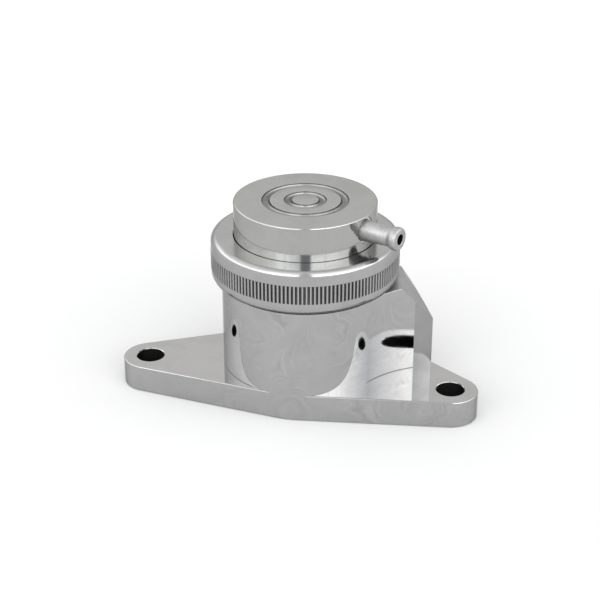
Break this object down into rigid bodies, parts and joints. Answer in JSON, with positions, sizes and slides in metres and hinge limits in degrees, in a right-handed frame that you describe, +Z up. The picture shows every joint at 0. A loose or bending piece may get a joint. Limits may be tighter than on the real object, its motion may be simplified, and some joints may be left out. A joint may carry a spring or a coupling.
{
  "type": "blow off valve",
  "caption": "Flange-mounted blow off valve: bored inlet in the base, rear outlet block, spring-loaded piston, swivelling cap with a vacuum tail, knurled clamp collar.",
  "frame": {"origin": "where the valve's axis meets the flange's bottom face, at the mouth of the inlet", "axes": "+X along the line of the two flange bolts, +Y to the rear, where the outlet is, +Z up the valve's axis towards the cap"},
  "size_m": [0.1094, 0.0558, 0.0604],
  "materials": {
    "polished_body": "machined and hand polished",
    "polished_collar": "turned and polished, straight knurl",
    "polished_cap": "turned and polished",
    "turned_tail": "fine turned",
    "machined_piston": "fine turned",
    "spring_steel": "plain drawn steel",
    "black_rubber": "moulded, matt",
    "white_plastic": "low-friction plastic, matt"
  },
  "bodies": {
    "body": {"valve_body": "polished_body", "flange_oring": "black_rubber", "cap_oring": "black_rubber"},
    "piston": {"piston": "machined_piston", "piston_upper_oring": "black_rubber", "piston_lower_oring": "black_rubber", "piston_guide_band": "white_plastic", "piston_face_seal": "black_rubber", "spring_perch": "machined_piston"},
    "cap": {"top_cap": "polished_cap", "vacuum_nipple": "turned_tail", "nipple_seal": "black_rubber", "swivel_washer": "white_plastic", "spring_shim_lower": "spring_steel", "spring_shim_upper": "spring_steel", "valve_spring": "spring_steel"},
    "collar": {"knurled_collar": "polished_collar"}
  },
  "joints": [
    {"name": "piston_lift", "type": "slide", "parent": "body", "child": "piston", "axis": [0, 0, 1], "range_m": [0, 0.008], "stiffness_N_per_m": 5000, "springref_m": -0.012, "deforming": ["valve_spring"]},
    {"name": "cap_swivel", "type": "hinge", "parent": "body", "child": "cap", "pos_m": [0, 0, 0.05], "axis": [0, 0, 1], "continuous": true},
    {"name": "collar_turn", "type": "hinge", "parent": "body", "child": "collar", "pos_m": [0, 0, 0.043], "axis": [0, 0, 1], "range_deg": [0, 90]}
  ]
}
